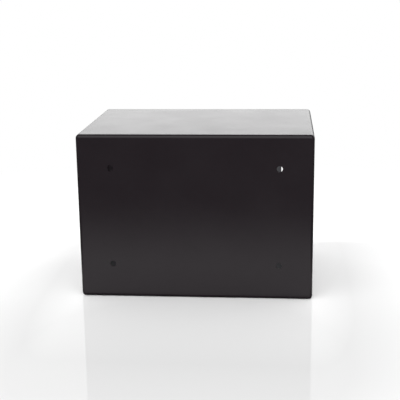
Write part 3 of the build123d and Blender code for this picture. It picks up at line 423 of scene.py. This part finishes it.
def needled_felt():
    """Grey needled felt: tangled fibres, small pits from the needles and a light nap."""
    f = Finish("grey needled felt")
    fibres = f.noise(1500, 4, 0.7, f.stretched(1, 0.3, 1))
    crossed = f.noise(1300, 4, 0.7, f.stretched(0.3, 1, 1))
    tangle = f.calc("MAXIMUM", fibres, crossed)
    pits = f.add("ShaderNodeTexVoronoi", {"Vector": f.place, "Scale": 420.0}).outputs["Distance"]
    f.bump(f.calc("ADD", tangle, f.spread(pits, 0.0, 0.5, 0.0, 0.35)), 0.0005, 0.8)
    tone = f.calc("ADD", f.calc("MULTIPLY", tangle, 0.7), f.calc("MULTIPLY", f.noise(20, 3), 0.3))
    return f.set(colour=f.ramp(tone, (0.020, 0.020, 0.022), (0.048, 0.048, 0.051), 0.35, 0.7), rough=0.95,
                 sheen=0.08, sheen_rough=0.4)


def printing_ink(name, thin, full):
    """Pad printed ink, a little thinner in places."""
    f = Finish(name)
    cover = f.noise(2200, 2)
    f.bump(cover, 0.00001, 0.4)
    return f.set(colour=f.ramp(cover, thin, full, 0.25, 0.5), rough=f.spread(cover, 0.45, 0.6))


def assign(finish, *names):
    """Give carried-over nodes one finish."""
    for name in names:
        mesh = nodes[name].data
        mesh.materials.clear()
        mesh.materials.append(finish)


def finish_cabinet():
    """Powder coats: black on the shell and the front, grey on the door pan and the covers."""
    tones = (0.0164, 0.0124, 0.0150), (0.0186, 0.0144, 0.0172)
    assign(powder_coat("black powder coat on the shell", *tones, 0.18, seam=True), "body_wrap", "back_panel")
    tones = (0.022, 0.018, 0.021), (0.027, 0.023, 0.026)
    assign(powder_coat("black powder coat", *tones, 0.30), "door_frame", "door_plate")
    grey = powder_coat("grey powder coat", (0.055, 0.055, 0.060), (0.066, 0.066, 0.071), 0.38)
    assign(grey, "door_pan", "inner_cover", "keyhole_cover")


def finish_hardware():
    """Zinc, chrome, brass and the winding."""
    slots = {part["node"]: part["material_slot"] for part in frame["record"]["subparts"]}
    assign(zinc_plate(), *[name for name in nodes if slots[name] == "zinc_steel"])
    assign(bright_chrome(), "knob", "bolt_lower", "bolt_upper")
    assign(turned_brass(), "pivot_bushes", "shaft_bush", "lock_barrel", "lock_plug")
    assign(wound_wire(), "solenoid_coil")


def finish_plastics():
    """Plastics, rubber, cells, leads and circuit boards."""
    black = moulded_plastic("black moulded plastic", (0.022, 0.022, 0.023), (0.034, 0.034, 0.035), 0.5)
    assign(black, "keypad_housing", "battery_tray", "battery_lid")
    grey = moulded_plastic("grey key plastic", (0.50, 0.51, 0.53), (0.58, 0.59, 0.61), 0.46)
    assign(grey, *["key_" + name for row in KEY_ROWS for name in row])
    assign(lens_tints(), "indicator_lenses")
    assign(sheet_rubber(), "keypad_rubber_mat")
    assign(shrink_wrap(), "batteries")
    assign(glossy_red(), "reset_button")
    assign(lead_jacket(), "keypad_cable", "power_leads")
    assign(printed_board("keypad board", shut_box("keypad_board")[1].y), "keypad_board")
    assign(printed_board("control board", shut_box("battery_tray")[1].y - BOARD_SETBACK), "control_board")


# Pieces that the scene adds or dresses in more detail.
def placed(name, mesh, finish, body):
    """Object from a finished mesh, riding on its body."""
    mesh.materials.clear()
    mesh.materials.append(finish)
    made = bpy.data.objects.new(name, mesh)
    bpy.context.scene.collection.objects.link(made)
    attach(made, body)
    return made


def piece(name, bm, finish, body):
    """Object from a bmesh, which is freed."""
    mesh = bpy.data.meshes.new(name)
    bm.to_mesh(mesh)
    bm.free()
    return placed(name, mesh, finish, body)


def lying_sheet(bm, width, length, thickness, corner):
    """Flat sheet with round corners, centred on the origin, its underside on z = 0."""
    bmesh.ops.create_grid(bm, x_segments=1, y_segments=1, size=0.5)
    bmesh.ops.scale(bm, vec=(width, length, 1), verts=bm.verts)
    bmesh.ops.bevel(bm, geom=bm.verts[:], offset=corner, segments=5, profile=0.5,
                    affect="VERTICES", material=-1)
    raised = bmesh.ops.extrude_face_region(bm, geom=bm.faces[:])["geom"]
    raised = [part for part in raised if isinstance(part, bmesh.types.BMVert)]
    bmesh.ops.translate(bm, vec=(0, 0, thickness), verts=raised)
    bmesh.ops.recalc_face_normals(bm, faces=bm.faces)


def felt_mat():
    """Felt mat on the cabinet floor, with softly rounded upper edges."""
    low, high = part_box("floor_mat")
    size = high - low
    bm = bmesh.new()
    lying_sheet(bm, size.x, size.y, size.z, MAT_CORNER)
    rim = [edge for edge in bm.edges if all(vertex.co.z > size.z / 2 for vertex in edge.verts)]
    bmesh.ops.bevel(bm, geom=rim, offset=MAT_EASE, segments=3, profile=0.5, affect="EDGES", material=-1)
    middle = (low + high) / 2
    bmesh.ops.translate(bm, vec=(middle.x, middle.y, low.z), verts=bm.verts)
    mat = piece("felt_mat", bm, needled_felt(), "cabinet")
    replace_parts(mat, "floor_mat")


def glyph(sign, height, thickness):
    """Mesh of one sign, centred on the origin and facing +Z."""
    text = bpy.data.curves.new("sign", "FONT")
    text.body = sign
    text.size = height
    text.extrude = thickness
    shape = bpy.data.objects.new("sign", text)
    mesh = bpy.data.meshes.new_from_object(shape)
    bpy.data.objects.remove(shape)
    bpy.data.curves.remove(text)
    low, high = [Vector(map(pick, zip(*[v.co for v in mesh.vertices]))) for pick in (min, max)]
    mesh.transform(Matrix.Translation(-(low + high) / 2))
    return mesh


def key_legends():
    """Printed sign in the middle of each key."""
    ink = printing_ink("black key ink", (0.05, 0.05, 0.052), (0.015, 0.015, 0.016))
    for name in [name for row in KEY_ROWS for name in row]:
        low, high = shut_box("key_" + name)
        spot = Vector(((low.x + high.x) / 2, low.y, (low.z + high.z) / 2))
        mesh = glyph(SIGNS.get(name, name), LEGEND_H * (STAR_SCALE if name == "star" else 1), PRINT_T)
        mesh.transform(DOOR_OPEN @ Matrix.Translation(spot) @ TO_DOOR_FRONT)
        placed("legend_" + name, mesh, ink, "key_" + name)


def knob_mark():
    """Painted index line on the end of the knob's grip."""
    low, high = shut_box("knob_shaft")
    spot = (low + high) / 2
    spot.y = shut_box("knob")[0].y
    bm = bmesh.new()
    lying_sheet(bm, MARK_W, MARK_L, 2 * PRINT_T, MARK_W * 0.45)
    bmesh.ops.translate(bm, vec=(0, MARK_OUT, -PRINT_T), verts=bm.verts)
    swing = Matrix.Rotation(KNOB_REST_TURN, 4, "Y")
    place = DOOR_OPEN @ Matrix.Translation(spot) @ swing @ TO_DOOR_FRONT
    bmesh.ops.transform(bm, matrix=place, verts=bm.verts)
    ink = printing_ink("white index paint", (0.60, 0.60, 0.58), (0.80, 0.80, 0.78))
    piece("knob_mark", bm, ink, "knob_set")


def screw_head(bm):
    """Domed head and shank on the z axis, head up, with the head's seat on z = 0."""
    turns = [math.radians(15 * step) for step in range(7)]
    dome = [(SCREW_HEAD_R * math.cos(turn), SCREW_HEAD_T * (0.35 + 0.65 * math.sin(turn))) for turn in turns]
    outline = [(0, -SCREW_L), (SCREW_R, -SCREW_L), (SCREW_R, 0), (SCREW_HEAD_R, 0), *dome]
    corners = [bm.verts.new((out, 0, up)) for out, up in outline]
    edges = [bm.edges.new(pair) for pair in zip(corners, corners[1:])]
    bmesh.ops.spin(bm, geom=corners + edges, cent=(0, 0, 0), axis=(0, 0, 1), dvec=(0, 0, 0),
                   angle=math.tau, steps=32, use_merge=True)
    bmesh.ops.remove_doubles(bm, verts=bm.verts, dist=TOLERANCE)
    bmesh.ops.recalc_face_normals(bm, faces=bm.faces)


def cross_cutter(bm):
    """Cross with tapered arms that cuts the recess."""
    for quarter in range(2):
        arm = bmesh.ops.create_cube(bm, size=1)["verts"]
        bmesh.ops.scale(bm, vec=(2 * RECESS_R, RECESS_W, RECESS_CUT), verts=arm)
        bmesh.ops.translate(bm, vec=(0, 0, RECESS_MID), verts=arm)
        foot = [vertex for vertex in arm if vertex.co.z < RECESS_MID]
        bmesh.ops.scale(bm, vec=(0.35, 0.7, 1), verts=foot)
        bmesh.ops.rotate(bm, matrix=Matrix.Rotation(math.pi / 2 * quarter, 3, "Z"), verts=arm)


def loose_object(name, build):
    """Helper object from a function that fills a bmesh."""
    mesh = bpy.data.meshes.new(name)
    bm = bmesh.new()
    build(bm)
    bm.to_mesh(mesh)
    bm.free()
    made = bpy.data.objects.new(name, mesh)
    bpy.context.scene.collection.objects.link(made)
    return made


def cross_head_screw():
    """Mesh of one cross recessed screw."""
    head = loose_object("screw head", screw_head)
    cutter = loose_object("cross", cross_cutter)
    cut = head.modifiers.new("recess", "BOOLEAN")
    cut.operation = "DIFFERENCE"
    cut.solver = "EXACT"
    cut.use_self = True
    cut.object = cutter
    graph = bpy.context.evaluated_depsgraph_get()
    mesh = bpy.data.meshes.new_from_object(head.evaluated_get(graph))
    bpy.data.objects.remove(head)
    bpy.data.objects.remove(cutter)
    return mesh


def cover_screws():
    """Six cross head screws that hold the inner cover."""
    low, high = shut_box("inner_cover_screws")
    seat = high.y - SCREW_HEAD_T
    screw = cross_head_screw()
    bm = bmesh.new()
    for number, x in enumerate((low.x + SCREW_HEAD_R, (low.x + high.x) / 2, high.x - SCREW_HEAD_R)):
        for row, z in enumerate((low.z + SCREW_HEAD_R, high.z - SCREW_HEAD_R)):
            one = screw.copy()
            turned = Matrix.Rotation(math.radians(37 * number + 64 * row), 4, "Z")
            inwards = Matrix.Rotation(math.radians(-90), 4, "X") @ turned
            one.transform(DOOR_OPEN @ Matrix.Translation((x, seat, z)) @ inwards)
            bm.from_mesh(one)
            bpy.data.meshes.remove(one)
    metal = nodes["inner_cover_screws"].data.materials[0]
    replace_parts(piece("cover_screws", bm, metal, "door"), "inner_cover_screws")


def contact_leaf(bm):
    """Leaf with eased edges, its back on z = 0."""
    leaf = bmesh.ops.create_cube(bm, size=1)["verts"]
    bmesh.ops.scale(bm, vec=(CONTACT_W, CONTACT_W, CONTACT_T), verts=leaf)
    bmesh.ops.translate(bm, vec=(0, 0, CONTACT_T / 2), verts=leaf)
    edges = list({edge for vertex in leaf for edge in vertex.link_edges})
    bmesh.ops.bevel(bm, geom=edges, offset=CONTACT_EASE, segments=2, profile=0.5, affect="EDGES", material=-1)


def coil_spring(bm, length):
    """Tapered coil on the leaf, its small end against the cell."""
    leaf = set(bm.verts)
    ring = bmesh.ops.create_circle(bm, segments=8, radius=WIRE_R)["verts"]
    bmesh.ops.rotate(bm, matrix=Matrix.Rotation(math.pi / 2, 3, "X"), verts=ring)
    bmesh.ops.translate(bm, vec=(COIL_R, 0, CONTACT_T + WIRE_R), verts=ring)
    steps = COIL_STEPS * COIL_TURNS
    edges = list({edge for vertex in ring for edge in vertex.link_edges})
    bmesh.ops.spin(bm, geom=ring + edges, cent=(0, 0, 0), axis=(0, 0, 1),
                   dvec=(0, 0, (length - 2 * WIRE_R) / steps), angle=math.tau * COIL_TURNS,
                   steps=steps, use_merge=False)
    for vertex in bm.verts:
        if vertex not in leaf:
            taper = 1 - COIL_TAPER * (vertex.co.z - CONTACT_T) / length
            vertex.co.xy *= taper
    bmesh.ops.holes_fill(bm, edges=[edge for edge in bm.edges if edge.is_boundary])
    bmesh.ops.recalc_face_normals(bm, faces=bm.faces)


def button_contact(bm, length):
    """Raised boss that meets the cell's pole."""
    boss = bmesh.ops.create_cone(bm, cap_ends=True, segments=24, radius1=BOSS_R, radius2=BOSS_TOP_R,
                                 depth=length)["verts"]
    bmesh.ops.translate(bm, vec=(0, 0, CONTACT_T + length / 2), verts=boss)
    edges = {edge for vertex in boss for edge in vertex.link_edges}
    rims = [edge for edge in edges if abs(edge.verts[0].co.z - edge.verts[1].co.z) < TOLERANCE]
    bmesh.ops.bevel(bm, geom=rims, offset=BOSS_EASE, segments=3, profile=0.5, affect="EDGES", material=-1)


def cell_contacts():
    """Leaf contacts in the tray: a coil at each cell's flat end, a boss at its pole."""
    low, high = shut_box("battery_contacts")
    middle = (low + high) / 2
    half = (high.x - low.x) / 2
    cells = shut_box("batteries")
    room = half - CONTACT_T - (cells[1].x - cells[0].x) / 2
    joined = bmesh.new()
    for number in range(CELL_COUNT):
        z = middle.z + (number - (CELL_COUNT - 1) / 2) * CELL_PITCH
        pole = 1 if number % 2 else -1
        for side in (-1, 1):
            bm = bmesh.new()
            contact_leaf(bm)
            if side == pole:
                button_contact(bm, room)
            else:
                coil_spring(bm, room)
            wall = Matrix.Translation((middle.x + side * half, middle.y, z))
            inwards = Matrix.Rotation(math.radians(-90 * side), 4, "Y")
            bmesh.ops.transform(bm, matrix=DOOR_OPEN @ wall @ inwards, verts=bm.verts)
            mesh = bpy.data.meshes.new("contact")
            bm.to_mesh(mesh)
            bm.free()
            joined.from_mesh(mesh)
            bpy.data.meshes.remove(mesh)
    metal = nodes["battery_contacts"].data.materials[0]
    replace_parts(piece("cell_contacts", joined, metal, "door"), "battery_contacts")


# Studio: white glossy floor, white surround, soft lamps.
def camera_tone(f, far, x, y):
    """Tone of the floor to the camera: painted light makes it paler right by the safe, and it is paler again
    further off.
    """
    aside = f.calc("MAXIMUM", f.calc("MULTIPLY_ADD", f.calc("ABSOLUTE", x), 4.0, -4 * HALF_W), 0.0)
    ahead = f.calc("MAXIMUM", f.calc("SUBTRACT", f.calc("ABSOLUTE", y), REAR_Y), 0.0)
    reach = f.calc("ADD", f.calc("MULTIPLY", aside, aside), f.calc("MULTIPLY", ahead, ahead))
    # Painted light: the floor is made paler right by the safe, which lightens the safe's contact shadow.
    painted_light_by_the_safe = f.spread(f.calc("SQRT", reach), FLOOR_PAINTED_LIFT, 0.0, 0.03, 0.24)
    return f.calc("ADD", f.spread(far, FLOOR_TONE, FLOOR_PALEST, 0.22, 0.50), painted_light_by_the_safe)


def painted_dark_reflection(f, x, y):
    """Painted dark reflection: parts of the floor that show dark only to glossy rays, beside the safe, under
    its rear edge as a painted contact shade, and far behind.
    """
    beside = f.spread(f.calc("ABSOLUTE", x), 0.0, 1.0, 0.27, 0.36)
    # Painted contact shade: under the safe's rear edge the floor shows dark to glossy rays.
    under = f.spread(f.calc("ABSOLUTE", f.calc("SUBTRACT", y, REAR_Y)), 1.0, 0.0, 0.006, 0.020)
    behind = f.spread(y, 0.0, 1.0, 0.30, 0.66)
    return f.calc("MAXIMUM", f.calc("MAXIMUM", beside, under), behind)


def white_acrylic():
    """Glossy white floor that turns plain white to the camera in the distance, with painted light by the safe
    and painted dark reflections to glossy rays.
    """
    f = Finish("white acrylic floor")
    x, y = f.axes()[:2]
    path = f.add("ShaderNodeLightPath").outputs
    far = f.add("ShaderNodeVectorMath", {0: f.place, 1: FLOOR_MIDDLE}, operation="DISTANCE").outputs["Value"]
    tone = f.spread(path["Is Camera Ray"], FLOOR_TONE, camera_tone(f, far, x, y))
    grey = f.add("ShaderNodeCombineColor", {0: tone, 1: tone, 2: tone}).outputs[0]
    f.set(colour=grey, rough=0.03, ior=1.45)
    distant = f.calc("MULTIPLY", f.spread(far, 0.0, 1.0, 0.65, 1.2), path["Is Camera Ray"])
    white = f.add("ShaderNodeEmission", {"Color": WHITE, "Strength": 1.0}).outputs[0]
    table = f.add("ShaderNodeMixShader", {0: distant, 1: f.shader.outputs[0], 2: white}).outputs[0]
    # Painted dark reflection: glossy rays see a dark emission on these parts of the floor.
    mirrored = f.calc("MULTIPLY", painted_dark_reflection(f, x, y), path["Is Glossy Ray"])
    dark = f.add("ShaderNodeEmission", {"Color": PAINTED_DARK_REFLECTION_TONE, "Strength": 1.0}).outputs[0]
    shown = f.add("ShaderNodeMixShader", {0: mirrored, 1: table, 2: dark}).outputs[0]
    f.join(shown, f.tree.nodes["Material Output"].inputs["Surface"])
    return f.material


def add_floor():
    """Floor under the safe."""
    mesh = bpy.data.meshes.new("floor")
    bm = bmesh.new()
    bmesh.ops.create_grid(bm, x_segments=1, y_segments=1, size=FLOOR_REACH)
    bm.to_mesh(mesh)
    bm.free()
    floor = bpy.data.objects.new("floor", mesh)
    bpy.context.scene.collection.objects.link(floor)
    mesh.materials.append(white_acrylic())


def add_surround():
    """White surround to the camera. Gloss sees it on the door's side, dimmer higher up, and a dark room."""
    world = bpy.data.worlds.new("studio")
    bpy.context.scene.world = world
    world.use_nodes = True
    world.node_tree.nodes.clear()
    w = Graph(world.node_tree)
    path = w.add("ShaderNodeLightPath").outputs
    facing = w.add("ShaderNodeTexCoord").outputs["Generated"]
    _, y, z = w.add("ShaderNodeSeparateXYZ", {0: facing}).outputs
    wall = w.spread(y, 0.0, 1.0, -0.12, -0.5)
    dimmed = w.spread(z, 1.0, UPPER_GLOSS, 0.32, 0.42)
    white = w.calc("MULTIPLY", dimmed, w.spread(z, 1.0, 0.0, 0.47, 0.6))
    mirrored = w.spread(w.calc("MULTIPLY", wall, white), ROOM_GLOSS, 1.0)
    lit = w.spread(path["Is Glossy Ray"], SURROUND_FILL, mirrored)
    seen = w.calc("MAXIMUM", path["Is Camera Ray"], path["Is Transmission Ray"])
    back = w.add("ShaderNodeBackground", {"Strength": w.spread(seen, lit, 1.0)}).outputs[0]
    w.join(WHITE, w.tree.nodes["Background"].inputs["Color"])
    w.add("ShaderNodeOutputWorld", {0: back})


def add_lamp(name, place, aim, size, power, mirrored=True):
    """Soft rectangular lamp that the camera doesn't see."""
    lamp = bpy.data.lights.new(name, "AREA")
    lamp.shape = "RECTANGLE"
    lamp.size, lamp.size_y = size
    lamp.energy = power
    holder = bpy.data.objects.new(name, lamp)
    facing = (Vector(aim) - Vector(place)).to_track_quat("-Z", "Y").to_matrix().to_4x4()
    holder.matrix_world = Matrix.Translation(place) @ facing
    holder.visible_camera = False
    holder.visible_glossy = mirrored
    bpy.context.scene.collection.objects.link(holder)


bpy.context.scene.view_settings.view_transform = "Standard"
add_camera()
finish_cabinet()
finish_hardware()
finish_plastics()
felt_mat()
key_legends()
knob_mark()
cover_screws()
cell_contacts()
add_floor()
add_surround()
add_lamp("soft box overhead", (0.3, 1.9, 2.5), (0, 0.3, 0), (4.0, 2.6), 42)
add_lamp("wide box above the camera", (0.15, 3.0, 1.05), (0, 0, 0.2), (4.0, 1.3), 14)
add_lamp("low lamp behind", (0.2, -5.0, 1.06), (0, 0, 1.06), (5.6, 0.78), 11)
add_lamp("lamp at the opening", (-3.2, -1.3, 0.9), (0, 0, 0.12), (1.4, 1.0), 6)
add_lamp("soft light inside the cabinet", (-0.02, 0.11, 0.18), (-0.02, -0.1, 0.165), (0.2, 0.09), 0.8,
         mirrored=False)
